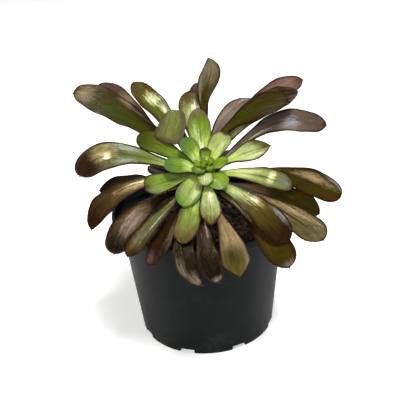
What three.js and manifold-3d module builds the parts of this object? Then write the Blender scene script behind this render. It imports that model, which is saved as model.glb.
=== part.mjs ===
// A tree aeonium in a black plastic nursery pot.
// Millimetres, +Z up. The origin is the middle of the pot's underside.
// The rosette leans towards -Y, the front.
import * as THREE from 'three';
import { mergeVertices } from 'three/addons/utils/BufferGeometryUtils.js';
import Module from 'manifold-3d';

const wasm = await Module();
wasm.setup();

// Pot
const POT_HEIGHT = 76;
const BASE_RADIUS = 40.5;
const WALL_TOP_RADIUS = 47.6;
const LIP_RADIUS = 52.4;
const LIP_HEIGHT = 5.6;
const RIM_WIDTH = 1.8;
const WALL = 1.3;
const FLOOR = 4.5;
const POT_SIDES = 64;
const DRAIN_COUNT = 8;
const DRAIN_FIRST = -64;
const DRAIN_WIDTH = 9;
const DRAIN_HEIGHT = 3;
const DRAIN_INNER_END = 27;
const DRAIN_HOLE_RADIUS = 3;
const DRAIN_HOLE_PLACE = 32;

// Soil
const SOIL_EDGE_HEIGHT = 66.5;
const SOIL_CROWN = 1.5;
const SOIL_RINGS = 7;
const LUMP_WAVES = 7;
const LUMP_HEIGHT = 0.45;
const LUMP_SEED = 11;

// Gap that separate pieces keep
const CLEARANCE = 0.3;

// Stem: it bends over from nearly upright in the soil to the leaning rosette
const APEX = new THREE.Vector3(3.6, -10, 107);
const LEAN_TOP = 33;
const LEAN_FOOT = 5;
const BEND_LENGTH = 46;
const STEM_RADIUS = 6;
const STEM_DIP = 0.25;
const STEM_TOP = 6.8;
const STEM_END = 66;
const STEM_SIDES = 14;
const STEM_SPACING = 3.3;

// Leaf arrangement: each leaf sits one golden angle round from the last, and lower on the stem
const GOLDEN_ANGLE = 137.5;
const FIRST_AZIMUTH = 334.5;
const HEART_LEAVES = 16;
const GREEN_LEAVES = 27;
const HEART_PITCH = 0.3;
const OUTER_PITCH = 0.45;
const ROOT_GAP = 0.8;
const CORE_RADIUS = 6.3;
const CORE_LENGTH = 6.2;

// Leaf mesh: shares of the leaf's length where a section stands, and points round a section
const STATIONS = [0, 0.06, 0.15, 0.27, 0.4, 0.53, 0.66, 0.76, 0.85, 0.92, 0.97, 1];
const HEART_STATIONS = [0, 0.12, 0.3, 0.48, 0.65, 0.8, 0.92, 1];
const SECTION_POINTS = 8;
const PATH_STEPS = 100;

// Shape of an outer leaf unless its row says otherwise
const OUTER_LEAF = {
  droopPower: 1, swing: 0, swingPower: 1.5, roll: 0, fold: 0, cup: 0.15, thickness: 2.4,
  peak: 0.77, neck: 0.28, taper: 1.6, blunt: 0.6, corner: 2.4, skew: 0,
  hook: 0, hookFrom: 0.5, hookTo: 0.9,
};

// The leaves from the youngest outwards. n gives the place, turn the degrees off it.
// rise is the angle above the rosette's plane at the root, droop how far it falls to the tip,
// swing how far the leaf bends sideways and hook a sharp bend between two shares of the length.
// peak is where the blade is widest, and neck its width at the root, as a share of that width.
// A high corner makes square shoulders. skew is how far the tip lies to the side, in millimetres.
const LEAVES = [
  { n: 0, turn: 0, length: 3.2, width: 2.6, rise: 72, droop: 10, tone: 'lime' },
  { n: 1, turn: 10, length: 3.8, width: 3, rise: 66, droop: 15, tone: 'lime' },
  { n: 2, turn: 0, length: 4.4, width: 3.4, rise: 60, droop: 15, tone: 'lime' },
  { n: 3, turn: -15, length: 5, width: 4, rise: 56, droop: 20, tone: 'lime' },
  { n: 4, turn: 20, length: 5.6, width: 4.4, rise: 52, droop: 20, tone: 'lime' },
  { n: 5, turn: 0, length: 6.4, width: 5, rise: 50, droop: 20, tone: 'lime' },
  { n: 6, turn: 5, length: 8.5, width: 6.4, rise: 54, droop: 10, tone: 'lime' },
  { n: 7, turn: 25, length: 12, width: 7.5, rise: 56, droop: 25, tone: 'lime' },
  { n: 8, turn: -10, length: 13, width: 8.5, rise: 52, droop: 30, swing: -10, tone: 'lime' },
  { n: 9, turn: 0, length: 17, width: 10.5, rise: 50, droop: 30, tone: 'lime' },
  { n: 10, turn: 0, length: 18, width: 9.5, rise: 48, droop: 35, tone: 'lime' },
  { n: 11, turn: 5, length: 20, width: 12.5, rise: 48, droop: 50, tone: 'lime' },
  { n: 12, turn: 5, length: 20, width: 11.5, rise: 44, droop: 40, tone: 'lime' },
  { n: 13, turn: -28, length: 20, width: 12, rise: 44, droop: 40, tone: 'lime' },
  { n: 14, turn: -5, length: 31, width: 13, rise: 42, droop: 25, corner: 1.8, peak: 0.62, tone: 'lime' },
  { n: 15, turn: 8, length: 27, width: 13.5, rise: 32, droop: 40, swing: 6, neck: 0.42, tone: 'lime' },
  {
    n: 16, turn: -6, length: 33, width: 13, rise: 34, droop: 30, roll: 10, blunt: 0.8, peak: 0.68,
    corner: 1.6, neck: 0.36, taper: 1.8, tone: 'green',
  },
  { n: 17, turn: 1, length: 36, width: 14.5, rise: 29.5, droop: 25, blunt: 0.5, tone: 'green' },
  {
    n: 18, turn: -15, length: 38, width: 12, rise: 31.5, droop: 37, swing: -6, thickness: 2.1,
    corner: 1.8, blunt: 0.8, tone: 'green',
  },
  {
    n: 19, turn: -0.5, length: 58, width: 19, rise: 35, droop: 23, swing: -88, swingPower: 1,
    neck: 0.24, taper: 3, corner: 2.6, skew: 4, tone: 'olive',
  },
  { n: 20, turn: 0, length: 30, width: 15, rise: 22, droop: 20, tone: 'green' },
  { n: 21, turn: -5, length: 46, width: 13.5, rise: 29, droop: 50, droopPower: 1.5, tone: 'green' },
  {
    n: 22, turn: 4, length: 56, width: 17, rise: 27, droop: 0, swing: -60, swingPower: 2,
    hook: -190, hookFrom: 0.45, hookTo: 0.8, peak: 0.94, blunt: 0.3, taper: 2.6, skew: 3,
    tone: 'green',
  },
  { n: 23, turn: -1.5, length: 47, width: 14, rise: 25.5, droop: 38, roll: 9, tone: 'green' },
  {
    n: 24, turn: 21.5, length: 70, width: 17, rise: 26, droop: 25, swing: -43, swingPower: 1.2,
    neck: 0.3, thickness: 2.1, tone: 'olive',
  },
  {
    n: 25, turn: 0, length: 68.5, width: 17, rise: 26, droop: 70, droopPower: 3, swing: 56,
    neck: 0.36, taper: 2, swingPower: 3, roll: -15, blunt: 0.45, tone: 'olive',
  },
  {
    n: 26, turn: -2, length: 63, width: 16, rise: 26, droop: 50, droopPower: 1.5, peak: 0.8,
    tone: 'olive',
  },
  {
    n: 27, turn: -0.5, length: 65.5, width: 13, rise: 40, droop: 30, swing: 24, swingPower: 4,
    neck: 0.24, taper: 5, peak: 0.8, blunt: 0.8, corner: 1.8, skew: -8, tone: 'bronze',
  },
  {
    n: 28, turn: 10, length: 64, width: 10.5, rise: 24, droop: 40, swing: -3, fold: 0.45,
    peak: 0.86, tone: 'olive',
  },
  {
    n: 29, turn: -7.5, length: 72.5, width: 16, rise: 20.5, droop: 40, droopPower: 1.5,
    swing: -28, swingPower: 0.8, roll: 12, taper: 3.4, blunt: 0.4, tone: 'bronze',
  },
  {
    n: 30, turn: -17.5, length: 65, width: 14, rise: 33, droop: 20, corner: 2.1, blunt: 0.5,
    skew: 3.5, tone: 'olive',
  },
  {
    n: 31, turn: -11, length: 69.5, width: 11, rise: 23, droop: 37, swing: 40, swingPower: 3,
    taper: 2.2, peak: 0.86, skew: -2, blunt: 0.5, tone: 'bronze',
  },
  {
    n: 32, turn: 3.5, length: 80, width: 13.5, rise: 26, droop: 18, swing: -46, roll: 18,
    corner: 2, skew: -1, peak: 0.84, taper: 2.4, tone: 'purple',
  },
  {
    n: 33, turn: -1, length: 69.5, width: 14.5, rise: 20, droop: 50, droopPower: 1.5, swing: 66,
    swingPower: 2.4, taper: 1.3, blunt: 0.75, corner: 1.7, tone: 'bronze',
  },
  {
    n: 34, turn: -6, length: 73, width: 17, rise: 19, droop: 31, swing: -16, taper: 1.8,
    blunt: 0.5, corner: 2, peak: 0.86, skew: 2, tone: 'olive',
  },
  {
    n: 35, turn: -7, length: 49, width: 14, rise: 41, droop: 30, droopPower: 1.5, swing: -8,
    tone: 'green',
  },
  {
    n: 36, turn: -2, length: 60, width: 11, rise: 20, droop: 40, taper: 1.8, blunt: 0.45,
    tone: 'purple',
  },
  {
    n: 37, turn: 20, length: 82, width: 17, rise: 24, droop: 35, swing: -51, swingPower: 2,
    blunt: 0.55, taper: 2.4, neck: 0.26, skew: -6, corner: 2, roll: 14, tone: 'purple',
  },
  {
    n: 38, turn: -25.5, length: 87, width: 22.5, rise: 26, droop: 15, swing: 46, swingPower: 2,
    neck: 0.28, taper: 1.8, peak: 0.84, thickness: 1.7, corner: 2.6, blunt: 0.5, skew: -5,
    tone: 'olive',
  },
  {
    n: 39, turn: 8.5, length: 73, width: 17, rise: 22, droop: 37, swing: -12, peak: 0.84,
    taper: 3, neck: 0.32, thickness: 2, tone: 'olive',
  },
  {
    n: 40, turn: 6, length: 59.5, width: 11.5, rise: 30, droop: 30, swing: -50, swingPower: 1.2,
    taper: 2.2, tone: 'purple',
  },
  {
    n: 41, turn: -5, length: 64.5, width: 17, rise: 18, droop: 40, swing: 46, taper: 2.2,
    blunt: 0.5, corner: 3, tone: 'bronze',
  },
  { n: 42, turn: -9, length: 62, width: 18, rise: 14, droop: 30, swing: -12, tone: 'bronze' },
  {
    n: 43, turn: 2.5, length: 85, width: 15.5, rise: 22, droop: 8, swing: 10, thickness: 1.7,
    peak: 0.86, taper: 2.4, tone: 'purple',
  },
  {
    n: 44, turn: -9.6, length: 73, width: 11, rise: 25, droop: 45, swing: 80, swingPower: 4.5,
    taper: 1, tone: 'bronze',
  },
  { n: 46, turn: -5, length: 54, width: 14, rise: 14, droop: 30, swing: 12, tone: 'bronze' },
  { n: 48, turn: -5, length: 66, width: 12, rise: 30, droop: 20, swing: 4, tone: 'purple' },
  {
    n: 52, turn: -0.5, length: 68, width: 15.5, rise: 25, droop: 41, peak: 0.88, taper: 2,
    corner: 1.2, blunt: 0.9, skew: -1.5, tone: 'olive',
  },
  { n: 53, turn: 5, length: 56, width: 15, rise: -7, droop: 26, tone: 'bronze' },
  { n: 56, turn: 0, length: 60, width: 15, rise: -18, droop: 20, tone: 'bronze' },
  { n: 59, turn: -21, length: 32.5, width: 10, rise: 17, droop: 20, tone: 'purple' },
  { n: 61, turn: 6, length: 58, width: 14, rise: -18, droop: 20, tone: 'purple' },
];

const FINISHES = {
  lime: { color: 0x9dbb4a, roughness: 0.45 },
  green: { color: 0x7d9a45, roughness: 0.42 },
  olive: { color: 0x55501f, roughness: 0.35 },
  bronze: { color: 0x4a3520, roughness: 0.32 },
  purple: { color: 0x54393a, roughness: 0.38 },
  bark: { color: 0x6a5038, roughness: 0.85 },
  soil: { color: 0x241a14, roughness: 0.95 },
  plastic: { color: 0x1c1e1d, roughness: 0.5 },
};

const radians = THREE.MathUtils.degToRad;
const clamp = (x) => Math.min(1, Math.max(0, x));
const smooth = (x) => clamp(x) ** 2 * (3 - 2 * clamp(x));

// Random numbers from 0 to 1 that repeat for one seed
function seededRandom(seed) {
  let state = seed;
  return () => {
    state = (state * 1664525 + 1013904223) % 4294967296;
    return state / 4294967296;
  };
}

// A closed body through rings of points, with a point at each end
function loft(rings, startPoint, endPoint) {
  const count = rings[0].length;
  const points = [...rings.flat(), startPoint, endPoint];
  const start = points.length - 2;
  const end = points.length - 1;
  const lastRing = (rings.length - 1) * count;
  const faces = [];
  for (let j = 0; j < count; j += 1) {
    const next = (j + 1) % count;
    faces.push(start, next, j, end, lastRing + j, lastRing + next);
    for (let i = 0; i < rings.length - 1; i += 1) {
      const [a, b] = [i * count + j, i * count + next];
      const [c, d] = [a + count, b + count];
      // The two halves of a section split their quads alike
      const split = j < count / 2 ? [a, b, d, a, d, c] : [a, b, c, b, d, c];
      faces.push(...split);
    }
  }
  const geometry = new THREE.BufferGeometry().setFromPoints(points);
  geometry.setIndex(faces);
  return geometry;
}

// Solids for joining and cutting
function toSolid(geometry) {
  const bare = geometry.clone();
  bare.deleteAttribute('normal');
  bare.deleteAttribute('uv');
  const merged = mergeVertices(bare, 1e-4);
  const corners = merged.index.array;
  const triangles = [];
  for (let i = 0; i < corners.length; i += 3) {
    const [a, b, c] = [corners[i], corners[i + 1], corners[i + 2]];
    if (a !== b && b !== c && c !== a) {
      triangles.push(a, b, c);
    }
  }
  return new wasm.Manifold(new wasm.Mesh({
    numProp: 3,
    vertProperties: new Float32Array(merged.attributes.position.array),
    triVerts: new Uint32Array(triangles),
  }));
}

function toGeometry(solid) {
  const mesh = solid.getMesh();
  const geometry = new THREE.BufferGeometry();
  geometry.setAttribute('position', new THREE.BufferAttribute(mesh.vertProperties, 3));
  geometry.setIndex(new THREE.BufferAttribute(mesh.triVerts, 1));
  return geometry;
}

function namedMesh(name, geometry, finishName) {
  const finish = FINISHES[finishName];
  const material = new THREE.MeshStandardMaterial({ ...finish, metalness: 0 });
  const mesh = new THREE.Mesh(geometry, material);
  mesh.name = name;
  return mesh;
}

// The stem's centreline, by the distance down it from the growing point
function stemLean(distance) {
  const share = Math.min(distance, BEND_LENGTH) / BEND_LENGTH;
  return radians(LEAN_TOP + (LEAN_FOOT - LEAN_TOP) * share);
}

function stemPoint(distance) {
  const bent = Math.min(distance, BEND_LENGTH);
  const straight = distance - bent;
  const rate = radians(LEAN_FOOT - LEAN_TOP) / BEND_LENGTH;
  const top = stemLean(0);
  const lean = stemLean(bent);
  const back = (Math.cos(top) - Math.cos(lean)) / rate + straight * Math.sin(lean);
  const down = (Math.sin(lean) - Math.sin(top)) / rate + straight * Math.cos(lean);
  const aside = APEX.x * (1 - bent / BEND_LENGTH);
  return new THREE.Vector3(aside, APEX.y + back, APEX.z - down);
}

// The frame of the stem at a distance: x to the right, y up the back, z along the stem
function stemFrame(distance) {
  const point = stemPoint(distance);
  return new THREE.Matrix4().makeRotationX(stemLean(distance)).setPosition(point);
}

function stemRing(distance, radius) {
  const frame = stemFrame(distance);
  return Array.from({ length: STEM_SIDES }, (_, i) => {
    const angle = (2 * Math.PI * i) / STEM_SIDES;
    return new THREE.Vector3(radius * Math.cos(angle), radius * Math.sin(angle), 0).applyMatrix4(frame);
  });
}

// Stem with swollen rings where old leaves fell, or the room it takes when a margin is given
function stemGeometry(margin) {
  const foot = STEM_END + margin;
  const rings = [stemRing(foot, STEM_RADIUS + margin)];
  for (let distance = STEM_END - STEM_SPACING; distance > STEM_TOP; distance -= STEM_SPACING) {
    const dip = rings.length % 2 === 0 ? 0 : STEM_DIP;
    rings.push(stemRing(distance, STEM_RADIUS - dip + margin));
  }
  rings.push(stemRing(STEM_TOP, STEM_RADIUS - STEM_DIP + margin));
  return loft(rings, stemPoint(foot), stemPoint(STEM_TOP));
}

// Leaf
function leafDown(n) {
  const heart = 1 + HEART_PITCH * n;
  const outer = 5.8 + OUTER_PITCH * (n - HEART_LEAVES);
  return n < HEART_LEAVES ? heart : outer;
}

function leafShape(row) {
  let young = {};
  if (row.n < HEART_LEAVES) {
    young = {
      peak: 0.68, taper: 1, neck: 0.75 - 0.015 * row.n, cup: 0.35, thickness: 1.2 + 0.06 * row.n,
    };
  } else if (row.n < GREEN_LEAVES) {
    young = { neck: 0.42, taper: 1.3 };
  }
  return { ...OUTER_LEAF, ...young, ...row };
}

function rootRadius(leaf) {
  return leaf.n < HEART_LEAVES ? Math.min(5.4, 0.6 + 0.32 * leaf.n) : STEM_RADIUS + ROOT_GAP;
}

function halfWidth(leaf, t) {
  const growth = smooth((t - 0.05) / (leaf.peak - 0.05)) ** leaf.taper;
  const past = clamp((t - leaf.peak) / (1 - leaf.peak));
  const tip = (1 - past ** leaf.corner) ** leaf.blunt;
  return (leaf.width / 2) * (leaf.neck + (1 - leaf.neck) * growth) * tip;
}

// How far the blade's middle lies to the side, growing from before its widest place to the tip
function sideShift(leaf, t) {
  return leaf.skew * smooth((t - leaf.peak + 0.25) / (1.25 - leaf.peak));
}

function leafThickness(leaf, t) {
  const end = clamp((t - 0.9) / 0.1);
  return leaf.thickness * (1 - 0.45 * t) * (1 - 0.65 * end ** 2);
}

// Points and directions along a leaf, in the stem's frame turned to the leaf
function leafPath(leaf) {
  const frames = [];
  const point = new THREE.Vector3(rootRadius(leaf), 0, 0);
  const headingAt = (t) => {
    const azimuth = radians(leaf.swing * t ** leaf.swingPower);
    const bend = leaf.hook * smooth((t - leaf.hookFrom) / (leaf.hookTo - leaf.hookFrom));
    const elevation = radians(leaf.rise - leaf.droop * t ** leaf.droopPower - bend);
    const along = new THREE.Vector3(
      Math.cos(elevation) * Math.cos(azimuth),
      Math.cos(elevation) * Math.sin(azimuth),
      Math.sin(elevation),
    );
    return { along, across: new THREE.Vector3(-Math.sin(azimuth), Math.cos(azimuth), 0) };
  };
  for (let i = 0; i <= PATH_STEPS; i += 1) {
    const t = i / PATH_STEPS;
    const { along, across } = headingAt(t);
    const roll = radians(leaf.roll) * smooth(t / 0.6);
    across.applyAxisAngle(along, roll);
    const up = new THREE.Vector3().crossVectors(along, across);
    const centre = point.clone().addScaledVector(across, sideShift(leaf, t));
    frames.push({ t, centre, across, up });
    const middle = headingAt((i + 0.5) / PATH_STEPS).along;
    point.addScaledVector(middle, leaf.length / PATH_STEPS);
  }
  return frames;
}

function leafRing(leaf, frame) {
  const half = halfWidth(leaf, frame.t);
  const thick = leafThickness(leaf, frame.t);
  const shaping = half * smooth(frame.t / 0.3);
  return Array.from({ length: SECTION_POINTS }, (_, i) => {
    const angle = (2 * Math.PI * i) / SECTION_POINTS;
    const side = Math.cos(angle);
    const face = Math.sin(angle);
    const hollow = shaping * (leaf.cup * (side ** 2 - 0.5) + leaf.fold * (Math.abs(side) - 0.5));
    const body = thick * face * (face > 0 ? 0.4 : 0.6);
    return frame.centre.clone()
      .addScaledVector(frame.across, half * side)
      .addScaledVector(frame.up, hollow + body);
  });
}

function leafGeometry(leaf, stations) {
  const path = leafPath(leaf);
  const rings = stations.slice(0, -1).map((t) => leafRing(leaf, path[Math.round(t * PATH_STEPS)]));
  return loft(rings, path[0].centre, path[PATH_STEPS].centre);
}

function placeLeaf(mesh, leaf) {
  const distance = leafDown(leaf.n);
  const azimuth = FIRST_AZIMUTH + GOLDEN_ANGLE * leaf.n + leaf.turn;
  mesh.position.copy(stemPoint(distance));
  mesh.rotation.set(stemLean(distance), 0, radians(azimuth % 360));
  return mesh;
}

function outerLeaf(row) {
  const leaf = leafShape(row);
  const geometry = leafGeometry(leaf, STATIONS);
  return placeLeaf(namedMesh(`leaf_${row.n}`, geometry, row.tone), leaf);
}

// The growing point: the young leaves joined with the short cone they grow from
function heartGeometry() {
  const coreRings = [CORE_LENGTH, 5, 3.6, 2.2, 1].map(
    (distance) => stemRing(distance, CORE_RADIUS * Math.sqrt(distance / CORE_LENGTH)),
  );
  let heart = toSolid(loft(coreRings, stemPoint(CORE_LENGTH), stemPoint(0.3)));
  for (const row of LEAVES.filter(({ n }) => n < HEART_LEAVES)) {
    const leaf = leafShape(row);
    const mesh = placeLeaf(new THREE.Mesh(leafGeometry(leaf, HEART_STATIONS)), leaf);
    mesh.updateMatrix();
    heart = heart.add(toSolid(mesh.geometry.applyMatrix4(mesh.matrix)));
  }
  return toGeometry(heart);
}

// Pot, with raised drain channels under the floor that open at its foot
function potGeometry() {
  const lipFoot = POT_HEIGHT - LIP_HEIGHT;
  const innerTop = LIP_RADIUS - RIM_WIDTH;
  const profile = [
    [0, 0],
    [BASE_RADIUS - 1, 0],
    [BASE_RADIUS, 1],
    [WALL_TOP_RADIUS, lipFoot - 0.8],
    [LIP_RADIUS - 1, lipFoot],
    [LIP_RADIUS - 0.2, lipFoot + 0.5],
    [LIP_RADIUS, lipFoot + 1.4],
    [LIP_RADIUS - 0.1, POT_HEIGHT - 1],
    [LIP_RADIUS - 0.7, POT_HEIGHT - 0.1],
    [LIP_RADIUS - 1.2, POT_HEIGHT],
    [innerTop, POT_HEIGHT - 0.6],
    [innerTop - 0.8, lipFoot + 0.6],
    [WALL_TOP_RADIUS - WALL, lipFoot - 1],
    [BASE_RADIUS - WALL, FLOOR],
    [0, FLOOR],
  ].map(([radius, height]) => new THREE.Vector2(radius, height));
  const turned = new THREE.LatheGeometry(profile, POT_SIDES).rotateX(Math.PI / 2);
  let pot = toSolid(turned);
  const channelLength = BASE_RADIUS + 2 - DRAIN_INNER_END;
  const channel = new THREE.BoxGeometry(channelLength, DRAIN_WIDTH, DRAIN_HEIGHT * 2)
    .translate(DRAIN_INNER_END + channelLength / 2, 0, 0);
  const hole = new THREE.CylinderGeometry(DRAIN_HOLE_RADIUS, DRAIN_HOLE_RADIUS, 4 * FLOOR, 12)
    .rotateX(Math.PI / 2)
    .translate(DRAIN_HOLE_PLACE, 0, 0);
  const drain = toSolid(channel).add(toSolid(hole));
  for (let i = 0; i < DRAIN_COUNT; i += 1) {
    pot = pot.subtract(drain.rotate([0, 0, DRAIN_FIRST + (360 * i) / DRAIN_COUNT]));
  }
  return toGeometry(pot);
}

// Potting mix, filling the pot, with a lumpy top and a hole for the stem
function soilGeometry() {
  const random = seededRandom(LUMP_SEED);
  const waves = Array.from({ length: LUMP_WAVES }, () => ({
    heading: 2 * Math.PI * random(),
    length: 8 + 14 * random(),
    phase: 2 * Math.PI * random(),
  }));
  const lump = (x, y) => waves.reduce((height, wave) => {
    const run = x * Math.cos(wave.heading) + y * Math.sin(wave.heading);
    return height + LUMP_HEIGHT * Math.sin((2 * Math.PI * run) / wave.length + wave.phase);
  }, 0);
  const slope = (WALL_TOP_RADIUS - BASE_RADIUS) / (POT_HEIGHT - LIP_HEIGHT);
  const radiusAt = (height) => BASE_RADIUS - WALL - CLEARANCE + slope * (height - 1.5);
  const ring = (radius, heightAt) => Array.from({ length: POT_SIDES }, (_, i) => {
    const angle = (2 * Math.PI * i) / POT_SIDES;
    const [x, y] = [radius * Math.cos(angle), radius * Math.sin(angle)];
    return new THREE.Vector3(x, y, heightAt(x, y));
  });
  const bottom = FLOOR + CLEARANCE;
  const edge = radiusAt(SOIL_EDGE_HEIGHT);
  const shoulder = SOIL_EDGE_HEIGHT - 3;
  const surface = (x, y) => {
    const share = Math.hypot(x, y) / edge;
    return SOIL_EDGE_HEIGHT + SOIL_CROWN * (1 - share ** 2) + lump(x, y) * (1 - 0.5 * share ** 6);
  };
  const rings = [ring(radiusAt(bottom) - 0.2, () => bottom), ring(radiusAt(shoulder), () => shoulder)];
  for (let i = 0; i < SOIL_RINGS; i += 1) {
    rings.push(ring(edge * (1 - i / SOIL_RINGS), surface));
  }
  const middle = new THREE.Vector3(0, 0, surface(0, 0));
  const body = toSolid(loft(rings, new THREE.Vector3(0, 0, bottom), middle));
  const hole = toSolid(stemGeometry(CLEARANCE));
  return toGeometry(body.subtract(hole));
}

const plant = new THREE.Group();
plant.add(namedMesh('pot', potGeometry(), 'plastic'));
plant.add(namedMesh('soil', soilGeometry(), 'soil'));
plant.add(namedMesh('stem', stemGeometry(0), 'bark'));
plant.add(namedMesh('heart', heartGeometry(), 'lime'));
for (const row of LEAVES.filter(({ n }) => n >= HEART_LEAVES)) {
  plant.add(outerLeaf(row));
}

export default plant;
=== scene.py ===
"""A tree aeonium in a black plastic nursery pot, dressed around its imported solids.

The plant's own numbers are in millimetres and degrees and repeat those of the solids.
Each mesh is turned into metres as it is made. The rosette leans towards -Y, the front.
"""

import math
from types import SimpleNamespace
from typing import NamedTuple

import bmesh
import bpy
import numpy as np
from mathutils import Matrix, Vector, noise


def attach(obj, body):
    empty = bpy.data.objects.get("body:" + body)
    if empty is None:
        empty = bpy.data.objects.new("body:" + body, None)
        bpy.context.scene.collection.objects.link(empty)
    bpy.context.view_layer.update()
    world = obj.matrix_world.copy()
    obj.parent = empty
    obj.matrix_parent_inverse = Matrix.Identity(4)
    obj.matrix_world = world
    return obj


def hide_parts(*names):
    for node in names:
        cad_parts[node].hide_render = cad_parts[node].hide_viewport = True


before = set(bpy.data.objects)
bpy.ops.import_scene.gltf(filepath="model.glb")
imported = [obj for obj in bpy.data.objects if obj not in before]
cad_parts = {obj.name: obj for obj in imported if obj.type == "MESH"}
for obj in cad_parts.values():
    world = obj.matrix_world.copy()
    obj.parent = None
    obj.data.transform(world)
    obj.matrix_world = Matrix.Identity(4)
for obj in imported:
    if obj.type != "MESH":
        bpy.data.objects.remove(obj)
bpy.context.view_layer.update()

BODY = "root"
METRES = 0.001

# Camera, fitted to the photograph's 416 x 416 frame
FRAME_PIXELS = 416
FOCAL_PIXELS = 686
SENSOR = 36
CAMERA_PLACE = (3.8, -362, 248)
CAMERA_PITCH = 25.6
CAMERA_ROLL = -3.3

# Where the panels of light are aimed, in metres
LIGHT_AIM = (0, 0, 0.08)

# Stem: it bends over from nearly upright in the soil to the leaning rosette
APEX = (3.6, -10, 107)
LEAN_TOP = 33
LEAN_FOOT = 5
BEND_LENGTH = 46
STEM_RADIUS = 6
STEM_SHRINK = 0.15
STEM_TOP = 6.8
STEM_OVERLAP = 1.2
STEM_END = 66
STEM_RINGS = 150
STEM_POINTS = 48
BARK_RELIEF = 0.12
BARK_WAVES = (4, 0.12)

# Scars of fallen leaves: their places in the spiral, their size and their relief's limits
SCAR_PLACES = range(45, 190)
SCAR_HIGH = 1.1
SCAR_WIDE = 2.1
SCAR_DEPTH = 0.45
SCAR_LIMITS = (-0.4, 0.3)

# Leaf arrangement: each leaf sits one golden angle round from the last, and lower on the stem
GOLDEN_ANGLE = 137.5
FIRST_AZIMUTH = 334.5
HEART_LEAVES = 16
GREEN_LEAVES = 27
HEART_DOWN = 1
HEART_PITCH = 0.3
OUTER_DOWN = 5.8
OUTER_PITCH = 0.45
HEART_ROOT = 0.6
HEART_ROOT_PITCH = 0.32
HEART_ROOT_MOST = 5.4
ROOT_GAP = 0.8
CORE_RADIUS = 6.3
CORE_LENGTH = 6.2
CORE_TIP = 0.3
CORE_RINGS = 12

# Leaf mesh: a grid is sections by points round each, and the last two shares are of the wave
PATH_STEPS = 400
OUTER_GRID = (58, 40)
HEART_GRID = (34, 28)
TIP_HALF = 0.3
TIP_REACH = 0.8
TIP_LEAST = 0.05
ROOT_REACH = 1.8
FLESH_ABOVE = 0.4
WAVE_SEED = 900
GRAIN_STEP = 23.7
PUCKERS = 7
PUCKER_SHARE = 0.1
PLEAT_SHARE = 0.22

# Pot
POT_HEIGHT = 76
BASE_RADIUS = 40.5
WALL_TOP_RADIUS = 47.6
LIP_RADIUS = 52.4
LIP_HEIGHT = 5.6
RIM_WIDTH = 1.8
WALL = 1.3
WALL_START = 1.5
FLOOR = 4.5
POT_SIDES = 160
SHARP_ANGLE = 35
DRAIN_COUNT = 8
DRAIN_FIRST = -64
DRAIN_WIDTH = 9
DRAIN_HEIGHT = 3
DRAIN_INNER_END = 27
DRAIN_HOLE_RADIUS = 3
DRAIN_HOLE_PLACE = 32
DRAIN_HOLE_SIDES = 24

# Soil
SOIL_EDGE_HEIGHT = 66.5
SOIL_CROWN = 1.5
SOIL_GRID = (72, 200)
SOIL_EASE = 0.9
SOIL_GRAIN = 0.35
SOIL_ROUGHNESS = 0.7
SOIL_SHOULDER = 3
SOIL_DIP = 5
CLEARANCE = 0.3
FOOT_SEARCH = (20, 60, 0.1)
LUMP_WAVES = 7
LUMP_LENGTHS = (8, 22)
LUMP_HEIGHT = 0.45
LUMP_SEED = 11
RANDOM_FACTOR = 1664525
RANDOM_STEP = 1013904223
RANDOM_RANGE = 2 ** 32

# Crumbs of the mix: each kind's finish, share of the count, radius and stretch, least and most
CRUMB_SEED = 77
CRUMB_COUNT = 1500
CRUMB_BUMPS = 0.16
CRUMB_FLATNESS = 0.75
CRUMB_LIFT = (-0.1, 0.5)
CRUMB_KINDS = [
    (0, 0.74, (0.5, 1.6), (0.8, 1.3)),
    (1, 0.26, (0.7, 2.0), (0.5, 1.8)),
    (2, 0.16, (0.3, 0.8), (0.8, 1.2)),
]

# What a leaf is like unless its row says otherwise
OUTER_LEAF = dict(
    droop_power=1, swing=0, swing_power=1.5, roll=0, fold=0, cup=0.15, thickness=2.4,
    peak=0.77, neck=0.28, taper=1.6, blunt=0.6, corner=2.4, skew=0, hook=0, hook_from=0.5,
    hook_to=0.9, wave=0.4,
)


def row(n, turn, length, width, rise, droop, **more):
    """One leaf, by its place n from the growing point outwards.

    turn is the degrees off its place, rise the angle above the rosette's plane at the root,
    droop how far it falls to the tip, swing how far it bends sideways, and hook a sharp bend
    between two shares of its length. peak is where it is widest, neck how wide its root is,
    taper how late it widens, corner and blunt how full its end is, and skew how far the end
    lies aside. roll tilts it, and cup, fold and wave shape it across.
    """
    young = {}
    if n < HEART_LEAVES:
        young = dict(peak=0.68, taper=1, neck=0.75 - 0.015 * n, cup=0.35,
                     thickness=1.2 + 0.06 * n, wave=0.1)
    elif n < GREEN_LEAVES:
        young = dict(neck=0.42, taper=1.3)
    own = dict(n=n, turn=turn, length=length, width=width, rise=rise, droop=droop)
    return SimpleNamespace(**{**OUTER_LEAF, **young, **own, **more})


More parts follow.
